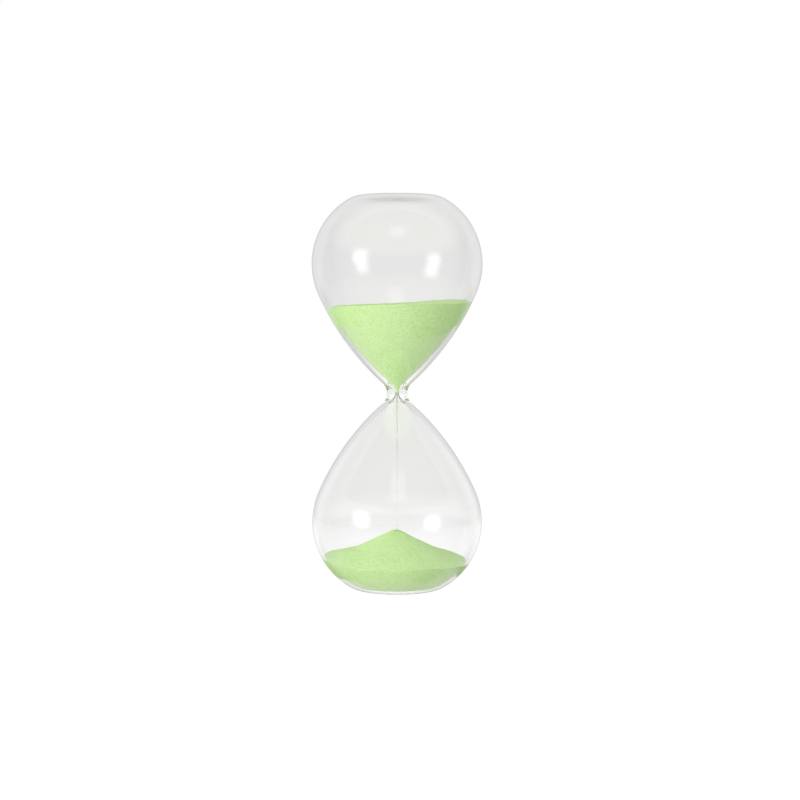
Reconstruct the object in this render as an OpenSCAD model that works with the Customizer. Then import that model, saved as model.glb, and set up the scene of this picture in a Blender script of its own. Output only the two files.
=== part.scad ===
// Frameless blown-glass hourglass with flat ends, caught while its sand runs.
// The origin is the centre of the foot, +Z runs up the axis of the glass.

/* [Glass outline] */
// Height over the two flat ends
glass_h = 190; // [160:1:230]
// Largest outside diameter of each bulb
bulb_d = 82; // [68:0.5:100]
// Height of a bulb's widest ring above its own flat end
equator_h = 33; // [28:0.5:40]
// Radius of the arc through the widest ring
shoulder_r = 36; // [30:0.5:38]
// Radius that rolls the shoulder over into the flat end
rim_r = 16; // [10:0.5:18]
// Radius of the long flank between shoulder and waist
flank_r = 125; // [90:1:200]
// Outside diameter of the waist
waist_d = 9.8; // [8:0.1:14]
// Radius of the hollow curve around the waist
waist_r = 6.5; // [4:0.5:10]

/* [Glass wall] */
// Wall of a blown bulb
wall = 1.5; // [1:0.1:2]
// Thickness of a flat end
end_t = 1.5; // [1:0.1:4]
// Radius of the inside of the flank, which leaves the waist thicker than the bulbs
funnel_r = 116; // [105:1:130]
// Bore at the waist that the sand runs through
orifice_d = 1.2; // [0.9:0.1:2]
// Radius that rounds the mouth of the bore into each funnel
lip_r = 6; // [3:0.5:7]

/* [Welds] */
// Length of the waist piece between its two welds
waist_len = 14; // [10:1:20]
// Diameter of the weld between a bulb and its end disc
disc_d = 40; // [34:0.5:44]
// Diameter of the fill hole in the top disc
fill_d = 9; // [6:0.5:12]
// How far the fused plug stops short of the resting face
plug_recess = 0.2; // [0.1:0.1:0.6]
// Height of the rounded bead that the plug leaves inside the bulb
plug_bead = 0.6; // [0.3:0.1:1.5]

/* [Sand] */
// Gap between the sand and the glass
sand_gap = 0.3; // [0.2:0.05:0.4]
// Height of the sand's edge in the upper bulb above the waist
upper_edge_h = 43; // [15:1:60]
// Radius of the crater that the outflow leaves in the upper sand
crater_r = 20; // [6:1:24]
// Depth of that crater
crater_depth = 8; // [2:0.5:12]
// Height of the heap's peak above the foot
heap_peak_h = 29; // [20:0.5:50]
// Radius where the heap's fresh cone runs into its skirt
cone_r = 19; // [10:0.5:24]
// Slope of the fresh cone
cone_slope = 26; // [20:0.5:34]
// Slope of the skirt
skirt_slope = 20; // [12:0.5:30]
// Radius that blunts the heap's peak
peak_r = 6; // [2:0.5:10]
// Diameter of the falling stream
stream_d = 1; // [0.6:0.1:1.1]

/* [Hidden] */

mid = glass_h / 2;
bulb_r = bulb_d / 2;
weld_h = waist_len / 2;
disc_r = disc_d / 2;
inner_rim_r = rim_r - wall;
// Centre of a bulb's shoulder arc, as radius and height above the waist
shoulder_c = [bulb_r - shoulder_r, mid - equator_h];
// Degrees between neighbouring points of an arc
arc_step = 3;
// Larger than any radius or height of the object
far = 2 * glass_h;
glass_tint = [0.86, 0.91, 0.9, 0.35];
sand_tint = [0.73, 0.88, 0.56];

// Direction from point a to point b, in degrees
function bearing(a, b) = atan2(b[1] - a[1], b[0] - a[0]);

// Points of an arc from one angle to another, both ends included
function arc(centre, r, from, to) =
    let (n = max(2, ceil(abs(to - from) / arc_step)))
    [for (i = [0:n])
        let (a = from + (to - from) * i / n)
        centre + r * [cos(a), sin(a)]];

// The point left of the line from a to b that lies ra from a and rb from b
function meeting(a, ra, b, rb) =
    let (l = norm(b - a),
         u = (b - a) / l,
         along = (ra * ra - rb * rb + l * l) / (2 * l),
         off = sqrt(ra * ra - along * along))
    a + u * along + [u[1], -u[0]] * off;

// Half outline of a bulb, from the waist plane to the axis at its flat end.
// Four arcs run into each other without a corner: waist, flank, shoulder and rim.
function bulb_outline(neck_r, hollow_r, long_r, round_r, end_r, end_h) =
    let (waist_c = [neck_r + hollow_r, 0],
         flank_c = meeting(shoulder_c, long_r - round_r, waist_c, long_r + hollow_r),
         rim_h = end_h - end_r,
         reach = round_r - end_r,
         rise = rim_h - shoulder_c[1],
         rim_c = [shoulder_c[0] + sqrt(reach * reach - rise * rise), rim_h])
    concat(
        arc(waist_c, hollow_r, 180, bearing(waist_c, flank_c)),
        arc(flank_c, long_r, bearing(flank_c, waist_c), bearing(flank_c, shoulder_c)),
        arc(shoulder_c, round_r, bearing(flank_c, shoulder_c), bearing(shoulder_c, rim_c)),
        arc(rim_c, end_r, bearing(shoulder_c, rim_c), 90),
        [[0, end_h]]);

// The outside of the glass
function skin() = bulb_outline(waist_d / 2, waist_r, flank_r, shoulder_r, rim_r, mid);

// The cavity, shrunk all round by a gap
function cavity(gap) =
    bulb_outline(orifice_d / 2 - gap, lip_r + gap, funnel_r - gap,
                 shoulder_r - wall - gap, inner_rim_r - gap, mid - end_t - gap);

// Drop of the heap's surface below its peak, at radius r
blunt = peak_r * sin(cone_slope);
blunt_drop = peak_r * (1 - cos(cone_slope));
function heap_drop(r) = blunt_drop + (min(r, cone_r) - blunt) * tan(cone_slope)
                        + max(r - cone_r, 0) * tan(skirt_slope);

// Glass of one half, seen in section beside the axis
module wall_section() {
    difference() {
        polygon(concat([[0, 0]], skin()));
        polygon(concat([[0, 0]], cavity(0)));
    }
}

// Space that sand can take in one half
module sand_section() {
    polygon(concat([[0, 0]], cavity(sand_gap)));
}

// Everything in section at least h above the waist, out to radius r
module above(h, r) {
    translate([0, h]) square([r, far]);
}

// The round body of a section that is drawn for the upper half
module upper_half() {
    translate([0, 0, mid]) rotate_extrude($fn = 180) children();
}

// The same for the lower half, which is the upper one turned over
module lower_half() {
    translate([0, 0, mid]) mirror([0, 0, 1]) rotate_extrude($fn = 180) children();
}

module bulb_section() {
    difference() {
        wall_section();
        square([far, weld_h]);
        above(shoulder_c[1], disc_r);
    }
}

module disc_section() {
    intersection() {
        wall_section();
        above(shoulder_c[1], disc_r);
    }
}

module waist_section() {
    intersection() {
        wall_section();
        square([far, weld_h]);
    }
}

module upper_bulb() {
    color(glass_tint) upper_half() bulb_section();
}

module lower_bulb() {
    color(glass_tint) lower_half() bulb_section();
}

// Drawn and thickened glass between the bulbs, with the bore that times the sand
module waist() {
    color(glass_tint) {
        upper_half() waist_section();
        lower_half() waist_section();
    }
}

module top_disc() {
    color(glass_tint) upper_half() difference() {
        disc_section();
        above(0, fill_d / 2);
    }
}

module base_disc() {
    color(glass_tint) lower_half() disc_section();
}

// Fused plug in the fill hole, flat outside and beaded inside
module fill_plug() {
    plug_r = fill_d / 2;
    bead_r = (plug_r * plug_r + plug_bead * plug_bead) / (2 * plug_bead);
    inside_h = mid - end_t;
    color(glass_tint) upper_half() {
        translate([0, inside_h]) square([plug_r, end_t - plug_recess]);
        intersection() {
            translate([0, inside_h - plug_bead + bead_r]) circle(r = bead_r, $fn = 180);
            translate([0, inside_h - plug_bead]) square([plug_r, plug_bead]);
        }
    }
}

// Sand that is still to run, with the crater over the bore
module upper_sand() {
    color(sand_tint) upper_half() intersection() {
        sand_section();
        polygon([
            [0, orifice_d / 2], [far, orifice_d / 2], [far, upper_edge_h],
            [crater_r, upper_edge_h], [0, upper_edge_h - crater_depth]
        ]);
    }
}

// Thread of falling grains, from the bore to just above the peak
module sand_stream() {
    top_h = mid + orifice_d / 2 - sand_gap;
    foot_h = heap_peak_h + sand_gap;
    color(sand_tint) translate([0, 0, foot_h])
        cylinder(d = stream_d, h = top_h - foot_h, $fn = 48);
}

// Sand that has run, heaped under the stream
module lower_sand() {
    peak_depth = mid - heap_peak_h;
    color(sand_tint) lower_half() intersection() {
        sand_section();
        polygon(concat(
            arc([0, peak_depth + peak_r], peak_r, 270, 270 + cone_slope),
            [[cone_r, peak_depth + heap_drop(cone_r)],
             [bulb_r, peak_depth + heap_drop(bulb_r)],
             [bulb_r, mid], [0, mid]]));
    }
}

upper_bulb();
lower_bulb();
waist();
top_disc();
base_disc();
fill_plug();
upper_sand();
sand_stream();
lower_sand();
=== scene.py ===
from math import atan2, ceil, cos, hypot, pi, radians, sin, sqrt, tan

import bpy
import numpy as np
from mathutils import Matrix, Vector, noise


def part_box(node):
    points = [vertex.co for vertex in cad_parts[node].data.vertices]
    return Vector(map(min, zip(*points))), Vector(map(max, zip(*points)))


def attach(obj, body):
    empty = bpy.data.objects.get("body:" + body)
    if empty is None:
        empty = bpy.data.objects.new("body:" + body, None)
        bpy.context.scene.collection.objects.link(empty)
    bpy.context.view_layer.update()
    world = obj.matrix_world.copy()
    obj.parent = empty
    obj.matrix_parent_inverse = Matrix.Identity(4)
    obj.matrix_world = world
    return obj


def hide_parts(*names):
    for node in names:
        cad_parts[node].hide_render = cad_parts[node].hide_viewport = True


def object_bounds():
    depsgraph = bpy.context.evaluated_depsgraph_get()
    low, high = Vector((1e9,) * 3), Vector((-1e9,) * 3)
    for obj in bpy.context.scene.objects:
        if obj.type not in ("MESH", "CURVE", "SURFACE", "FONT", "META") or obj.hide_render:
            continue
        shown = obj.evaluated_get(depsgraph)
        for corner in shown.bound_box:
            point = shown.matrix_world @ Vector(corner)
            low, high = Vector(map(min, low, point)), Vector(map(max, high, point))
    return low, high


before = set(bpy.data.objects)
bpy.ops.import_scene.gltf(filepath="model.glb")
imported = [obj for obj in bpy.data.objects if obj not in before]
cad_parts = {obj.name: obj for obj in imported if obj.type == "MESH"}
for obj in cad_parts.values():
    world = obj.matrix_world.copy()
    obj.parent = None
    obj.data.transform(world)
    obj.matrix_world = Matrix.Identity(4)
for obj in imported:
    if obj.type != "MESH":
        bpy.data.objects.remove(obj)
cad_low, cad_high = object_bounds()

# Upper bulb
# The bulb over the waist, blown from clear borosilicate tube. It is fused to the waist
# below it and to the end disc above it, so its two rims are welds and not open edges.

MM = 0.001
glass_h = cad_high.z - cad_low.z
mid = glass_h / 2
bulb_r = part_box("upper_bulb")[1].x
equator_h = 33 * MM
shoulder_r = 36 * MM
rim_r = 16 * MM
flank_r = 125 * MM
waist_r = 4.9 * MM
waist_hollow_r = 6.5 * MM
wall = 1.5 * MM
end_t = 1.5 * MM
funnel_r = 116 * MM
bore_r = 0.6 * MM
lip_r = 6 * MM
weld_h = 7 * MM
disc_r = 20 * MM
fine_step = 0.02 * MM
shoulder_c = (bulb_r - shoulder_r, mid - equator_h)


def bearing(a, b):
    return atan2(b[1] - a[1], b[0] - a[0])


def meeting(a, a_r, b, b_r):
    """The point on the axis side of a-b that lies a_r from a and b_r from b."""
    gap = hypot(b[0] - a[0], b[1] - a[1])
    ux, uy = (b[0] - a[0]) / gap, (b[1] - a[1]) / gap
    along = (a_r * a_r - b_r * b_r + gap * gap) / (2 * gap)
    off = sqrt(a_r * a_r - along * along)
    return a[0] + ux * along + uy * off, a[1] + uy * along - ux * off


def arc(centre, radius, start, end):
    steps = ceil(abs(end - start) * radius / fine_step)
    angles = np.linspace(start, end, steps + 1)
    return np.column_stack([centre[0] + radius * np.cos(angles), centre[1] + radius * np.sin(angles)])


def straight(a, b):
    steps = max(1, ceil(hypot(b[0] - a[0], b[1] - a[1]) / fine_step))
    return np.linspace(a, b, steps + 1)


def half_outline(neck, hollow, long, round_, end, end_h):
    """Radius and height above the waist, from the waist plane out over the bulb to the axis."""
    waist_c = (neck + hollow, 0)
    flank_c = meeting(shoulder_c, long - round_, waist_c, long + hollow)
    reach, rise = round_ - end, end_h - end - shoulder_c[1]
    rim_c = (shoulder_c[0] + sqrt(reach * reach - rise * rise), end_h - end)
    return np.vstack([
        arc(waist_c, hollow, pi, bearing(waist_c, flank_c))[:-1],
        arc(flank_c, long, bearing(flank_c, waist_c), bearing(flank_c, shoulder_c))[:-1],
        arc(shoulder_c, round_, bearing(flank_c, shoulder_c), bearing(shoulder_c, rim_c))[:-1],
        arc(rim_c, end, bearing(shoulder_c, rim_c), pi / 2)[:-1],
        straight((rim_c[0], end_h), (0, end_h)),
    ])


def cavity(gap):
    """Outline of the hollow in one bulb, drawn in by a gap."""
    return half_outline(bore_r - gap, lip_r + gap, funnel_r - gap, shoulder_r - wall - gap,
                        rim_r - wall - gap, mid - end_t - gap)


skin = half_outline(waist_r, waist_hollow_r, flank_r, shoulder_r, rim_r, mid)
hollow = cavity(0)


def waist_cut(path):
    return int(np.argmax(path[:, 1] >= weld_h))


def disc_cut(path):
    return int(np.argmax((path[:, 1] > shoulder_c[1]) & (path[:, 0] <= disc_r)))


def crowded(path, rings, to_axis=False):
    """The path as rings that crowd together at a weld, where the surface has to run on smoothly."""
    run = np.concatenate([[0], np.cumsum(np.hypot(*np.diff(path, axis=0).T))])
    if to_axis:
        share = 1 - np.cos(np.linspace(0, pi / 2, rings))
    else:
        share = (1 - np.cos(np.linspace(0, pi, rings))) / 2
    return np.column_stack([np.interp(run[-1] * share, run, path[:, i]) for i in (0, 1)])


def above_waist(path):
    return np.column_stack([path[:, 0], mid + path[:, 1]])


def below_waist(path):
    return np.column_stack([path[:, 0], mid - path[:, 1]])


def add_nodes(tree, *kinds):
    return [tree.nodes.new(kind) for kind in kinds]


def calculate(tree, operation, a, b=None):
    """A Math node on sockets or plain numbers."""
    node = tree.nodes.new("ShaderNodeMath")
    node.operation = operation
    for slot_in, value in zip(node.inputs, (a, b)):
        if isinstance(value, (int, float)):
            slot_in.default_value = value
        elif value is not None:
            tree.links.new(value, slot_in)
    return node.outputs[0]


def turning_tree():
    """Turns a half section, a row of points in the XZ plane, into a closed skin round the Z axis."""
    tree = bpy.data.node_groups.new("turned round the axis", "GeometryNodeTree")
    for name, kind in (("Section", "Geometry"), ("Segments", "Int"), ("Waver", "Float"),
                       ("Waver Size", "Float"), ("Seed", "Float"), ("Finish", "Material"),
                       ("Weld Finish", "Material")):
        tree.interface.new_socket(name, in_out="INPUT", socket_type="NodeSocket" + kind)
    tree.interface.new_socket("Geometry", in_out="OUTPUT", socket_type="NodeSocketGeometry")
    given, result = add_nodes(tree, "NodeGroupInput", "NodeGroupOutput")
    link = tree.links.new

    count, grid, place, split = add_nodes(
        tree, "GeometryNodeAttributeDomainSize", "GeometryNodeMeshGrid",
        "GeometryNodeInputPosition", "ShaderNodeSeparateXYZ")
    link(given.outputs["Section"], count.inputs["Geometry"])
    points = count.outputs["Point Count"]
    link(calculate(tree, "ADD", given.outputs["Segments"], 1), grid.inputs["Vertices X"])
    link(points, grid.inputs["Vertices Y"])
    grid.inputs["Size X"].default_value = 1
    grid.inputs["Size Y"].default_value = 1
    link(place.outputs[0], split.inputs[0])
    across = calculate(tree, "ADD", split.outputs["Y"], 0.5)
    row = calculate(tree, "MULTIPLY", across, calculate(tree, "SUBTRACT", points, 1))
    angle = calculate(tree, "MULTIPLY", calculate(tree, "ADD", split.outputs["X"], 0.5), 2 * pi)

    # A face remembers the row that it starts from, so that the welds can be told apart later.
    held, = add_nodes(tree, "GeometryNodeCaptureAttribute")
    held.domain = "FACE"
    held.capture_items.new("FLOAT", "row")
    link(grid.outputs["Mesh"], held.inputs["Geometry"])
    link(row, held.inputs["row"])

    section, section_place, radius = add_nodes(
        tree, "GeometryNodeSampleIndex", "GeometryNodeInputPosition", "ShaderNodeSeparateXYZ")
    section.data_type = "FLOAT_VECTOR"
    section.clamp = True
    link(given.outputs["Section"], section.inputs["Geometry"])
    link(section_place.outputs[0], section.inputs["Value"])
    link(calculate(tree, "ROUND", row), section.inputs["Index"])
    link(section.outputs[0], radius.inputs[0])
    even, = add_nodes(tree, "ShaderNodeCombineXYZ")
    for axis, turn in (("X", "COSINE"), ("Y", "SINE")):
        along = calculate(tree, "MULTIPLY", radius.outputs["X"], calculate(tree, turn, angle))
        link(along, even.inputs[axis])
    link(radius.outputs["Z"], even.inputs["Z"])

    # Hand-blown glass is never quite round, so the radius shrinks by a share that wavers slowly.
    waver, shrink, placed = add_nodes(
        tree, "ShaderNodeTexNoise", "ShaderNodeVectorMath", "GeometryNodeSetPosition")
    waver.noise_dimensions = "4D"
    link(even.outputs[0], waver.inputs["Vector"])
    link(given.outputs["Seed"], waver.inputs["W"])
    link(calculate(tree, "DIVIDE", 1, given.outputs["Waver Size"]), waver.inputs["Scale"])
    waver.inputs["Detail"].default_value = 1
    lost = calculate(tree, "MULTIPLY", given.outputs["Waver"], waver.outputs[0])
    kept = calculate(tree, "SUBTRACT", 1, lost)
    factors, = add_nodes(tree, "ShaderNodeCombineXYZ")
    link(kept, factors.inputs["X"])
    link(kept, factors.inputs["Y"])
    factors.inputs["Z"].default_value = 1
    shrink.operation = "MULTIPLY"
    link(even.outputs[0], shrink.inputs[0])
    link(factors.outputs[0], shrink.inputs[1])
    link(held.outputs["Geometry"], placed.inputs["Geometry"])
    link(shrink.outputs[0], placed.inputs["Position"])

    weld, is_weld = add_nodes(tree, "GeometryNodeInputNamedAttribute", "GeometryNodeSampleIndex")
    weld.data_type = "FLOAT"
    weld.inputs["Name"].default_value = "weld"
    is_weld.data_type = "FLOAT"
    is_weld.clamp = True
    link(given.outputs["Section"], is_weld.inputs["Geometry"])
    link(weld.outputs["Attribute"], is_weld.inputs["Value"])
    link(calculate(tree, "FLOOR", held.outputs["row"]), is_weld.inputs["Index"])

    closed, smooth, finish, weld_finish, solid = add_nodes(
        tree, "GeometryNodeMergeByDistance", "GeometryNodeSetShadeSmooth", "GeometryNodeSetMaterial",
        "GeometryNodeSetMaterial", "GeometryNodeRealizeInstances")
    closed.inputs["Distance"].default_value = 1e-6
    link(given.outputs["Finish"], finish.inputs["Material"])
    link(given.outputs["Weld Finish"], weld_finish.inputs["Material"])
    link(calculate(tree, "GREATER_THAN", is_weld.outputs[0], 0.5), weld_finish.inputs["Selection"])
    link(placed.outputs[0], finish.inputs["Geometry"])
    link(finish.outputs[0], weld_finish.inputs["Geometry"])
    link(weld_finish.outputs[0], closed.inputs["Geometry"])
    link(closed.outputs[0], smooth.inputs["Geometry"])
    link(smooth.outputs[0], solid.inputs["Geometry"])
    link(solid.outputs[0], result.inputs[0])
    return tree


turning = turning_tree()


def set_inputs(modifier, values):
    """Sets a modifier's named inputs by their identifiers."""
    for item in modifier.node_group.interface.items_tree:
        if item.in_out == "INPUT" and item.name in values:
            modifier[item.identifier] = values[item.name]


def turned(name, runs, finish, weld_finish, segments=192, waver=0.0):
    """A closed piece turned from runs of section points. Each run is (points, True for a weld face)."""
    points = [p for run, _ in runs for p in run[:-1]] + [runs[-1][0][-1]]
    welds = [float(is_weld) for run, is_weld in runs for _ in run[:-1]] + [0.0]
    section = bpy.data.meshes.new(name + "_section")
    section.from_pydata([(r, 0, z) for r, z in points], [], [])
    section.attributes.new("weld", "FLOAT", "POINT").data.foreach_set("value", welds)
    bench = bpy.data.objects.new(name + "_section", section)
    bpy.context.scene.collection.objects.link(bench)
    modifier = bench.modifiers.new("turning", "NODES")
    modifier.node_group = turning
    set_inputs(modifier, {"Segments": segments, "Waver": waver, "Waver Size": 30 * MM, "Seed": 4.0,
                          "Finish": finish, "Weld Finish": weld_finish})
    mesh = bpy.data.meshes.new_from_object(bench.evaluated_get(bpy.context.evaluated_depsgraph_get()))
    mesh.name = name
    bpy.data.objects.remove(bench)
    mesh.set_sharp_from_angle(angle=radians(40))
    piece = bpy.data.objects.new(name, mesh)
    bpy.context.scene.collection.objects.link(piece)
    return piece


def clear_glass():
    """Polished glass that lets lamp light and scattered light through to the sand."""
    material = bpy.data.materials.new("clear blown glass")
    material.use_nodes = True
    tree = material.node_tree
    tree.nodes.clear()
    output, body, through, lamps, fill, path = add_nodes(
        tree, "ShaderNodeOutputMaterial", "ShaderNodeBsdfPrincipled", "ShaderNodeBsdfTransparent",
        "ShaderNodeMixShader", "ShaderNodeMixShader", "ShaderNodeLightPath")
    body.inputs["Base Color"].default_value = (0.99, 0.987, 0.985, 1)
    body.inputs["IOR"].default_value = 1.47
    body.inputs["Transmission Weight"].default_value = 1
    place, streaks, bump, haze, dulled = add_nodes(
        tree, "ShaderNodeTexCoord", "ShaderNodeMapping", "ShaderNodeBump",
        "ShaderNodeTexNoise", "ShaderNodeMapRange")
    ripple, = add_nodes(tree, "ShaderNodeTexNoise")
    link = tree.links.new
    streaks.inputs["Scale"].default_value = (1, 1, 0.15)
    link(place.outputs["Object"], streaks.inputs["Vector"])
    link(streaks.outputs[0], ripple.inputs["Vector"])
    ripple.inputs["Scale"].default_value = 160
    ripple.inputs["Detail"].default_value = 1
    link(ripple.outputs[0], bump.inputs["Height"])
    bump.inputs["Strength"].default_value = 0.25
    bump.inputs["Distance"].default_value = 0.02 * MM
    link(bump.outputs[0], body.inputs["Normal"])
    link(place.outputs["Object"], haze.inputs["Vector"])
    haze.inputs["Scale"].default_value = 90
    dulled.inputs["From Min"].default_value = 0.55
    dulled.inputs["From Max"].default_value = 0.8
    dulled.inputs["To Min"].default_value = 0.0
    dulled.inputs["To Max"].default_value = 0.03
    link(haze.outputs[0], dulled.inputs["Value"])
    link(dulled.outputs[0], body.inputs["Roughness"])
    link(path.outputs["Is Shadow Ray"], lamps.inputs[0])
    link(body.outputs[0], lamps.inputs[1])
    link(through.outputs[0], lamps.inputs[2])
    link(path.outputs["Is Diffuse Ray"], fill.inputs[0])
    link(lamps.outputs[0], fill.inputs[1])
    link(through.outputs[0], fill.inputs[2])
    link(fill.outputs[0], output.inputs["Surface"])
    return material


def fused_glass():
    """The face inside a weld, where two pieces have run into one and nothing shows."""
    material = bpy.data.materials.new("fused weld")
    material.use_nodes = True
    tree = material.node_tree
    tree.nodes.clear()
    output, through = add_nodes(tree, "ShaderNodeOutputMaterial", "ShaderNodeBsdfTransparent")
    tree.links.new(through.outputs[0], output.inputs["Surface"])
    return material


glass = clear_glass()
fused = fused_glass()
out_of_round = 0.0045


def bulb_runs(half):
    """The runs of a bulb's section, in one half of the glass."""
    outside = half(crowded(skin[waist_cut(skin):disc_cut(skin) + 1], 130))
    inside = half(crowded(hollow[waist_cut(hollow):disc_cut(hollow) + 1], 130))
    return [(outside, False), ([outside[-1], inside[-1]], True),
            (inside[::-1], False), ([inside[0], outside[0]], True)]


def turned_over(runs):
    """The same runs walked the other way, which keeps the faces outward in the lower half."""
    return [(run[::-1], is_weld) for run, is_weld in runs[::-1]]


def glass_piece(node, runs):
    piece = turned(node + "_glass", runs, glass, fused, waver=out_of_round)
    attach(piece, "glass")
    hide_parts(node)
    return piece


glass_piece("upper_bulb", bulb_runs(above_waist))

# Lower bulb
# The same bulb turned over, blown from the same clear tube. It is fused to the waist above
# it and to the disc that it stands on.

glass_piece("lower_bulb", turned_over(bulb_runs(below_waist)))

# Waist
# The drawn neck between the bulbs. The tube wall has run together here, so the glass is
# thick round a bore of 1.2 mm, with a rounded lip on both sides that times the sand.


def through_waist(path, rings):
    """Both halves of an outline between the two waist welds, from the lower weld up."""
    half = path[:waist_cut(path) + 1]
    return crowded(np.vstack([below_waist(half)[::-1], above_waist(half[1:])]), rings)


neck_outside = through_waist(skin, 90)
neck_inside = through_waist(hollow, 140)
glass_piece("waist", [
    (neck_outside, False), ([neck_outside[-1], neck_inside[-1]], True),
    (neck_inside[::-1], False), ([neck_inside[0], neck_outside[0]], True)])

# Base disc
# The flat end that the glass stands on: a disc of the same clear glass, fused into the foot
# of the lower bulb.

disc_inside = crowded(hollow[disc_cut(hollow):], 30, to_axis=True)
disc_outside = crowded(skin[disc_cut(skin):], 30, to_axis=True)
base_inside = below_waist(disc_inside)
base_outside = below_waist(disc_outside)
glass_piece("base_disc", turned_over([
    (base_inside[::-1], False), ([base_inside[0], base_outside[0]], True),
    (base_outside, False)]))

# Top disc
# The flat end that was the last to go on. The sand was poured in through the hole in its
# middle, whose edge has softened in the flame.

fill_r = 4.5 * MM


def to_hole(path, height):
    """The path cut off at the fill hole, its last point set exactly on the hole's wall."""
    cut = path[:int(np.argmax(path[:, 0] <= fill_r)) + 1].copy()
    cut[-1] = (fill_r, height)
    return cut


ring_inside = above_waist(crowded(to_hole(hollow[disc_cut(hollow):], mid - end_t), 30))
ring_outside = above_waist(crowded(to_hole(skin[disc_cut(skin):], mid), 30))
glass_piece("top_disc", [
    (ring_inside[::-1], False), ([ring_inside[0], ring_outside[0]], True),
    (ring_outside, False), ([ring_outside[-1], ring_inside[-1]], True)])

# Fill plug
# A bead of glass melted into the fill hole after the sand went in. It has sunk a little
# below the outer face and hangs as a low drop inside.

plug_bead = 0.6 * MM
plug_sink = 0.2 * MM


def meniscus(depth, height, rings):
    """A surface that sags by a depth in the middle of the hole and runs level into its wall."""
    radii = np.linspace(0, fill_r, rings)
    return np.column_stack([radii, height - depth * (1 - (radii / fill_r) ** 2) ** 2])


bead = meniscus(plug_bead, glass_h - end_t, 20)
dish = meniscus(plug_sink, glass_h, 20)[::-1]
glass_piece("fill_plug", [(bead, False), ([bead[-1], dish[0]], True), (dish, False)])

# Sand still to run
# Fine dyed sand in the upper bulb, matt light green. It lies against the glass all round,
# and the outflow has pulled a shallow crater into its middle.

sand_clear = 0.05 * MM
block_edge = 1 * MM
grain_lift = 0.09 * MM
broad_wave, broad_lift = 9 * MM, 0.35 * MM
small_wave, small_lift = 2.5 * MM, 0.12 * MM
upper_edge_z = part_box("upper_sand")[1].z
crater_r = 20 * MM
crater_depth = 8 * MM
crater_lip_blend = 0.02
grain_size = 0.25 * MM


def dyed_sand(painted_shade=1.0):
    """Dyed quartz grains: matt, each grain a slightly different green, with darker gaps between. Every
    colour is scaled by a painted shade factor; below 1 it gives a darker copy that stands in for sand
    lying in shade.
    """
    material = bpy.data.materials.new("light green sand")
    material.use_nodes = True
    tree = material.node_tree
    tree.nodes.clear()
    link = tree.links.new
    output, body, place, cells, drift, blotch = add_nodes(
        tree, "ShaderNodeOutputMaterial", "ShaderNodeBsdfPrincipled", "ShaderNodeTexCoord",
        "ShaderNodeTexVoronoi", "ShaderNodeTexNoise", "ShaderNodeTexNoise")
    body.inputs["Roughness"].default_value = 0.85
    body.inputs["Specular IOR Level"].default_value = 0.25
    link(place.outputs["Object"], cells.inputs["Vector"])
    link(place.outputs["Object"], drift.inputs["Vector"])
    link(place.outputs["Object"], blotch.inputs["Vector"])
    cells.inputs["Scale"].default_value = 1 / grain_size
    drift.inputs["Scale"].default_value = 900
    drift.inputs["Detail"].default_value = 3
    blotch.inputs["Scale"].default_value = 110
    blotch.inputs["Detail"].default_value = 3
    grain_tone, = add_nodes(tree, "ShaderNodeSeparateColor")
    link(cells.outputs["Color"], grain_tone.inputs[0])
    tone = calculate(tree, "ADD", calculate(tree, "MULTIPLY", grain_tone.outputs[0], 0.45),
                     calculate(tree, "ADD", calculate(tree, "MULTIPLY", drift.outputs[0], 0.5),
                               calculate(tree, "MULTIPLY", blotch.outputs[0], 0.08)))
    ramp, = add_nodes(tree, "ShaderNodeValToRGB")
    ramp.color_ramp.elements[0].position = 0.165
    ramp.color_ramp.elements[0].color = (0.41, 0.63, 0.21, 1)
    ramp.color_ramp.elements[1].position = 0.865
    ramp.color_ramp.elements[1].color = (0.68, 0.89, 0.47, 1)
    middle = ramp.color_ramp.elements.new(0.515)
    middle.color = (0.56, 0.80, 0.34, 1)
    # Painted shade: every ramp colour is scaled by the factor, so a factor below 1 darkens the sand as if
    # it lay in shade.
    for element in ramp.color_ramp.elements:
        element.color = [painted_shade * part for part in element.color[:3]] + [1]
    link(tone, ramp.inputs[0])
    link(ramp.outputs[0], body.inputs["Base Color"])
    bump, = add_nodes(tree, "ShaderNodeBump")
    bump.inputs["Strength"].default_value = 0.35
    bump.inputs["Distance"].default_value = 0.1 * MM
    bump.invert = True
    link(cells.outputs["Distance"], bump.inputs["Height"])
    link(bump.outputs[0], body.inputs["Normal"])
    link(body.outputs[0], output.inputs["Surface"])
    return material


sand = dyed_sand()


def radii_out(first, last, step):
    return np.linspace(first, last, ceil((last - first) / step) + 1)


def sand_block(name, height_at, floor_z):
    """Sand under a surface with a height for each place, wider and deeper than the bulb that trims it."""
    edge_r = bulb_r + block_edge
    radii = np.concatenate([[0], radii_out(0.8 * MM, edge_r, 0.6 * MM)])
    level = np.column_stack([radii, np.full(len(radii), mid)])
    bottom = np.linspace((0, floor_z), (edge_r, floor_z), 8)
    runs = [(bottom, False), ([bottom[-1], level[-1]], False), (level[::-1], False)]
    block = turned(name, runs, sand, sand, segments=300)
    rng = np.random.default_rng(11)
    for point in block.data.vertices:
        x, y, z = point.co
        shift = rng.uniform(-grain_lift, grain_lift)
        if z > mid - MM:
            broad = noise.noise(Vector((x, y, 0.3)) / broad_wave) * broad_lift
            small = noise.noise(Vector((x, y, 0.7)) / small_wave) * small_lift
            point.co.z = height_at(x, y) + broad + small + shift
    return block


def room_in_bulb(name, half, runs_over):
    """The space that the glass leaves for sand. It never shows: it trims the sand at every level."""
    path = cavity(sand_clear)
    rows = crowded(path[path[:, 0] > 0.5 * MM], 150)
    section = half(np.vstack([[(0, rows[0][1])], rows, [(0, rows[-1][1])]]))
    room = turned(name, [(section[::-1] if runs_over else section, False)], sand, sand, segments=300)
    room.hide_render = True
    room.hide_viewport = True
    return room


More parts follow.
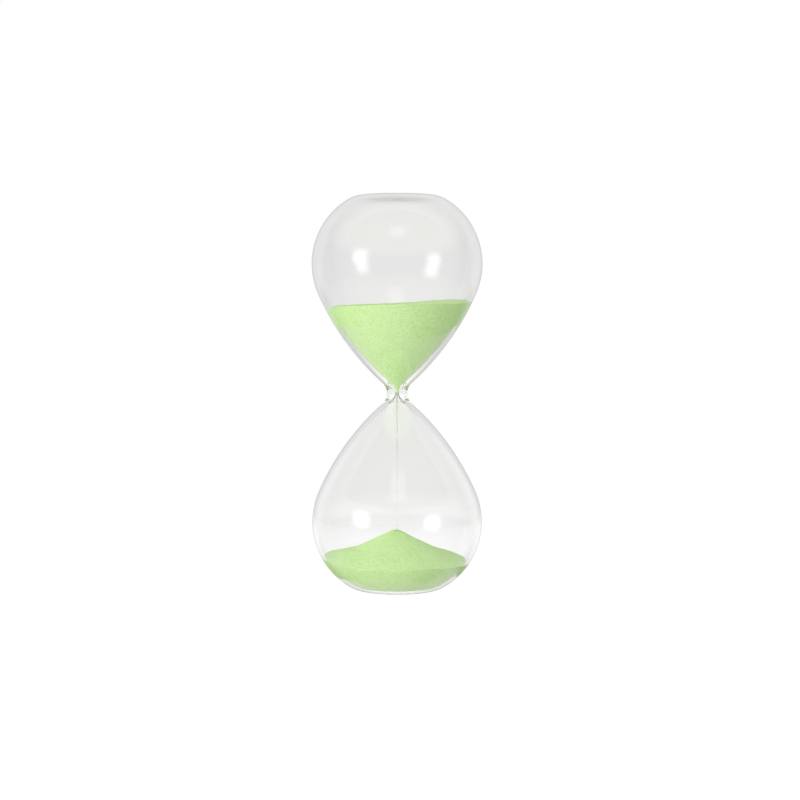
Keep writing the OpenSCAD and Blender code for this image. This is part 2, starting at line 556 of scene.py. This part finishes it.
def trimmed(block, room):
    """Keeps the block to the room in its bulb, also while its body moves."""
    block.data.shade_flat()
    trim = block.modifiers.new("trim to the glass", "BOOLEAN")
    trim.operation = "INTERSECT"
    trim.solver = "MANIFOLD"
    trim.object = room


def crater_height(x, y):
    """The level is a little higher at the far right, and the edge has slumped on the left."""
    inward = 1 - hypot(x, y) / crater_r
    bowl = crater_depth * (inward + sqrt(inward * inward + crater_lip_blend)) / 2
    slump = 3 * MM * max(0.0, (-x - 27 * MM) / (8 * MM)) ** 2
    tilt = 0.035 * x + 0.03 * y * min(1.0, max(0.0, x / (25 * MM)))
    return upper_edge_z - bowl + tilt - slump


upper_block = sand_block("upper_sand_grains", crater_height, mid - 12 * MM)
trimmed(upper_block, room_in_bulb("upper_room", above_waist, False))
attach(upper_block, "sand_above")
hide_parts("upper_sand")

# Sand that has run
# The heap in the lower bulb: a fresh cone under the stream, on a flatter skirt that slid
# out to the glass. It fills the rounded foot of the bulb down to the base disc.

peak_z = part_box("lower_sand")[1].z
cone_r = 19 * MM
cone_slope = radians(26)
peak_r = 6 * MM
peak_left = 0.8 * MM


def skirt_slope(x, y):
    """The sand slid out unevenly, so the skirt is flatter on the left than on the right and in front."""
    r = max(hypot(x, y), MM)
    left, right, front = max(0.0, -x / r), max(0.0, x / r), -y / r
    return radians(18 + 4 * front - 5.5 * left ** 4 + 4.5 * right ** 4)


def heap_height(x, y):
    r = hypot(x + peak_left, y)
    blunt = peak_r * sin(cone_slope)
    if r < blunt:
        return peak_z - peak_r + sqrt(peak_r * peak_r - r * r)
    drop = peak_r * (1 - cos(cone_slope)) + (min(r, cone_r) - blunt) * tan(cone_slope)
    return peak_z - drop - max(r - cone_r, 0) * tan(skirt_slope(x, y))


heap_block = sand_block("lower_sand_grains", heap_height, -18 * MM)
trimmed(heap_block, room_in_bulb("lower_room", below_waist, True))
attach(heap_block, "sand_below")
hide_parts("lower_sand")

# Falling sand
# Loose grains between the bore and the peak. They leave the bore close together and draw
# apart as they fall faster.

stream_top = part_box("sand_stream")[1].z
stream_foot = peak_z - 4 * MM
stream_r = 0.3 * MM
stream_grains = 420
stream_grain_r = 0.12 * MM


def stream_tree():
    tree = bpy.data.node_groups.new("falling grains", "GeometryNodeTree")
    for name, kind in (("Anchor", "Geometry"), ("Count", "Int"), ("Top", "Float"), ("Fall", "Float"),
                       ("Radius", "Float"), ("Grain", "Float"), ("Seed", "Int"), ("Finish", "Material")):
        tree.interface.new_socket(name, in_out="INPUT", socket_type="NodeSocket" + kind)
    tree.interface.new_socket("Geometry", in_out="OUTPUT", socket_type="NodeSocketGeometry")
    given, result = add_nodes(tree, "NodeGroupInput", "NodeGroupOutput")
    link = tree.links.new
    line, time, bearing_, spread, where, placed = add_nodes(
        tree, "GeometryNodePoints", "FunctionNodeRandomValue", "FunctionNodeRandomValue",
        "FunctionNodeRandomValue", "ShaderNodeCombineXYZ", "GeometryNodeSetPosition")
    link(given.outputs["Count"], line.inputs["Count"])
    for offset, random in enumerate((time, bearing_, spread)):
        link(calculate(tree, "ADD", given.outputs["Seed"], offset), random.inputs["Seed"])
    # Even steps of time give places that draw apart as the square of the time.
    fallen = calculate(tree, "MULTIPLY", given.outputs["Fall"],
                       calculate(tree, "POWER", time.outputs[1], 3.2))
    turn = calculate(tree, "MULTIPLY", bearing_.outputs[1], 2 * pi)
    out = calculate(tree, "MULTIPLY", given.outputs["Radius"], calculate(tree, "SQRT", spread.outputs[1]))
    link(calculate(tree, "MULTIPLY", out, calculate(tree, "COSINE", turn)), where.inputs["X"])
    link(calculate(tree, "MULTIPLY", out, calculate(tree, "SINE", turn)), where.inputs["Y"])
    link(calculate(tree, "SUBTRACT", given.outputs["Top"], fallen), where.inputs["Z"])
    link(line.outputs[0], placed.inputs["Geometry"])
    link(where.outputs[0], placed.inputs["Position"])
    grain, cast, size, twist, solid, finish = add_nodes(
        tree, "GeometryNodeMeshIcoSphere", "GeometryNodeInstanceOnPoints", "FunctionNodeRandomValue",
        "FunctionNodeRandomValue", "GeometryNodeRealizeInstances", "GeometryNodeSetMaterial")
    link(given.outputs["Grain"], grain.inputs["Radius"])
    size.data_type = "FLOAT_VECTOR"
    size.inputs["Min"].default_value = (0.7, 0.7, 0.7)
    size.inputs["Max"].default_value = (1.2, 1.2, 1.2)
    twist.data_type = "FLOAT_VECTOR"
    twist.inputs["Max"].default_value = (2 * pi, 2 * pi, 2 * pi)
    link(placed.outputs[0], cast.inputs["Points"])
    link(grain.outputs[0], cast.inputs["Instance"])
    link(size.outputs[0], cast.inputs["Scale"])
    link(twist.outputs[0], cast.inputs["Rotation"])
    link(cast.outputs[0], solid.inputs[0])
    link(solid.outputs[0], finish.inputs[0])
    link(given.outputs["Finish"], finish.inputs["Material"])
    link(finish.outputs[0], result.inputs[0])
    return tree


def grown(name, tree, values):
    """A plain mesh of what a tree makes on an empty piece."""
    seed_bed = bpy.data.objects.new(name + "_bed", bpy.data.meshes.new(name + "_bed"))
    bpy.context.scene.collection.objects.link(seed_bed)
    modifier = seed_bed.modifiers.new("grow", "NODES")
    modifier.node_group = tree
    set_inputs(modifier, values)
    mesh = bpy.data.meshes.new_from_object(seed_bed.evaluated_get(bpy.context.evaluated_depsgraph_get()))
    bpy.data.objects.remove(seed_bed)
    piece = bpy.data.objects.new(name, mesh)
    bpy.context.scene.collection.objects.link(piece)
    return piece


# The falling grains take a copy of the sand darkened to 0.45: painted shade that stands in for the thin
# stream lying in shadow.
stream = grown("falling_grains", stream_tree(), {
    "Count": stream_grains, "Top": stream_top, "Fall": stream_top - stream_foot, "Radius": stream_r,
    "Grain": stream_grain_r, "Seed": 5, "Finish": dyed_sand(0.45)})
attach(stream, "glass")
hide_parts("sand_stream")

# Studio
# A white sweep behind and below the glass, a soft lamp on each side of the camera and one
# above, and dark surroundings that give the clear glass its grey.

scene = bpy.context.scene
camera = bpy.data.objects.new("camera", bpy.data.cameras.new("camera"))
scene.collection.objects.link(camera)
camera.data.lens = 89.05
camera.data.sensor_width = 36
camera.location = (1.4 * MM, -0.95, 0.138)
camera.rotation_euler = (radians(90 - 2.79), 0, 0)
scene.camera = camera
scene.view_settings.view_transform = "Standard"
scene.cycles.use_denoising = True
scene.cycles.max_bounces = 64
scene.cycles.transmission_bounces = 64
scene.cycles.glossy_bounces = 64
scene.cycles.transparent_max_bounces = 64
scene.cycles.caustics_reflective = False
scene.cycles.caustics_refractive = False


def direction(azimuth, elevation):
    """Azimuth 0 points to the camera and 90 to +X."""
    a, e = radians(azimuth), radians(elevation)
    return Vector((sin(a) * cos(e), -cos(a) * cos(e), sin(e)))


def soft_lamp(name, azimuth, elevation, width, height, power):
    lamp = bpy.data.objects.new(name, bpy.data.lights.new(name, "AREA"))
    scene.collection.objects.link(lamp)
    lamp.data.shape = "RECTANGLE"
    lamp.data.size = width
    lamp.data.size_y = height
    lamp.data.energy = power
    towards = direction(azimuth, elevation)
    lamp.location = Vector((0, 0, mid)) + towards
    lamp.rotation_euler = towards.to_track_quat("Z", "Y").to_euler()
    lamp.visible_camera = False
    lamp.visible_glossy = False
    lamp.visible_transmission = False
    return lamp


soft_lamp("key lamp", -38, 8, 0.55, 0.6, 6.0)
soft_lamp("second lamp", 51, 8, 0.5, 0.55, 0.1)
soft_lamp("top lamp", -10, 80, 0.9, 0.9, 1.3)


def studio_world():
    world = bpy.data.worlds.new("studio")
    world.use_nodes = True
    world.cycles.sampling_method = "NONE"
    tree = world.node_tree
    tree.nodes.clear()
    link = tree.links.new
    output, place, path = add_nodes(
        tree, "ShaderNodeOutputWorld", "ShaderNodeTexCoord", "ShaderNodeLightPath")

    def towards(vector):
        dot, = add_nodes(tree, "ShaderNodeVectorMath")
        dot.operation = "DOT_PRODUCT"
        link(place.outputs["Generated"], dot.inputs[0])
        dot.inputs[1].default_value = vector
        return dot.outputs["Value"]

    def soft_step(value, low, high):
        step, = add_nodes(tree, "ShaderNodeMapRange")
        step.interpolation_type = "SMOOTHSTEP"
        link(value, step.inputs["Value"])
        step.inputs["From Min"].default_value = low
        step.inputs["From Max"].default_value = high
        return step.outputs[0]

    def panel(azimuth, elevation, width, height, edge, strength):
        """A soft-edged rectangle in one direction, its sizes as tangents of its half angles."""
        out = direction(azimuth, elevation)
        side = Vector((0, 0, 1)).cross(out).normalized()
        up = out.cross(side)
        ahead = towards(out)
        across = calculate(tree, "ABSOLUTE", calculate(tree, "DIVIDE", towards(side), ahead))
        along = calculate(tree, "ABSOLUTE", calculate(tree, "DIVIDE", towards(up), ahead))
        shape = calculate(tree, "MULTIPLY", soft_step(across, width + edge, width - edge),
                          soft_step(along, height + edge, height - edge))
        facing = calculate(tree, "GREATER_THAN", ahead, 0)
        return calculate(tree, "MULTIPLY", calculate(tree, "MULTIPLY", shape, facing), strength)

    def background(strength):
        node, = add_nodes(tree, "ShaderNodeBackground")
        if isinstance(strength, (int, float)):
            node.inputs["Strength"].default_value = strength
        else:
            link(strength, node.inputs["Strength"])
        node.inputs["Color"].default_value = (1, 1, 1, 1)
        return node.outputs[0]

    def mix(factor, a, b):
        node, = add_nodes(tree, "ShaderNodeMixShader")
        link(factor, node.inputs[0])
        link(a, node.inputs[1])
        link(b, node.inputs[2])
        return node.outputs[0]

    # Light that the neck's thick glass has turned round several times comes from white cards.
    through_glass = calculate(tree, "MINIMUM", path.outputs["Transmission Depth"], 1)
    turned_round = calculate(tree, "GREATER_THAN", path.outputs["Glossy Depth"], 1.5)
    surroundings = calculate(tree, "ADD", calculate(tree, "MULTIPLY", turned_round, 0.2), 0.04)
    above_floor = soft_step(towards((0, 0, 1)), -0.5, -0.14)
    # The paper's middle lies in the shade of the object, which draws the thin line round the glass.
    behind = towards((0, 1, 0))
    paper = calculate(tree, "SUBTRACT", soft_step(behind, 0.3, 0.78),
                      calculate(tree, "MULTIPLY", soft_step(behind, 0.9, 0.98), 0.22))
    sweep = calculate(tree, "MULTIPLY", paper, above_floor)
    ground = calculate(tree, "MULTIPLY", soft_step(towards((0, 0, -1)), 0.1, 0.6), 0.12)
    bright = calculate(tree, "MAXIMUM", sweep, ground)
    mirrored = calculate(tree, "ADD", calculate(tree, "MULTIPLY", bright, 0.72), surroundings)
    for lamp in (panel(-51, 9, 0.17, 0.15, 0.13, 3.8), panel(51, 5, 0.15, 0.13, 0.13, 3.4),
                 panel(2, 48, 0.16, 0.16, 0.1, 0.9)):
        mirrored = calculate(tree, "ADD", mirrored, lamp)
    in_mirror = calculate(tree, "MINIMUM", path.outputs["Glossy Depth"], 1)
    on_sand = calculate(tree, "MINIMUM", path.outputs["Diffuse Depth"], 1)
    backdrop = mix(through_glass, background(1.0), background(0.935))
    seen = mix(in_mirror, backdrop, background(mirrored))
    link(mix(on_sand, seen, background(0.74)), output.inputs["Surface"])
    return world


scene.world = studio_world()


def sweep_floor():
    """A round white floor that fades into the white behind it."""
    reach = 0.7
    mesh = bpy.data.meshes.new("floor")
    rim = [(reach * cos(2 * pi * i / 96), reach * sin(2 * pi * i / 96), -0.02 * MM) for i in range(96)]
    mesh.from_pydata(rim, [], [list(range(96))])
    material = bpy.data.materials.new("white sweep")
    material.use_nodes = True
    tree = material.node_tree
    tree.nodes.clear()
    link = tree.links.new
    output, place, distance, fade, mixed = add_nodes(
        tree, "ShaderNodeOutputMaterial", "ShaderNodeTexCoord", "ShaderNodeVectorMath",
        "ShaderNodeMapRange", "ShaderNodeMixShader")
    paint, glow, lit, clear = add_nodes(
        tree, "ShaderNodeBsdfDiffuse", "ShaderNodeEmission", "ShaderNodeAddShader",
        "ShaderNodeBsdfTransparent")
    distance.operation = "LENGTH"
    link(place.outputs["Object"], distance.inputs[0])
    link(distance.outputs["Value"], fade.inputs["Value"])
    fade.inputs["From Min"].default_value = 0.12
    fade.inputs["From Max"].default_value = 0.6
    paint.inputs["Color"].default_value = (0.2, 0.2, 0.2, 1)
    glow.inputs["Strength"].default_value = 0.92
    link(paint.outputs[0], lit.inputs[0])
    link(glow.outputs[0], lit.inputs[1])
    link(fade.outputs[0], mixed.inputs[0])
    link(lit.outputs[0], mixed.inputs[1])
    link(clear.outputs[0], mixed.inputs[2])
    link(mixed.outputs[0], output.inputs["Surface"])
    mesh.materials.append(material)
    floor = bpy.data.objects.new("floor", mesh)
    scene.collection.objects.link(floor)
    floor.visible_glossy = False
    floor.visible_diffuse = False


sweep_floor()
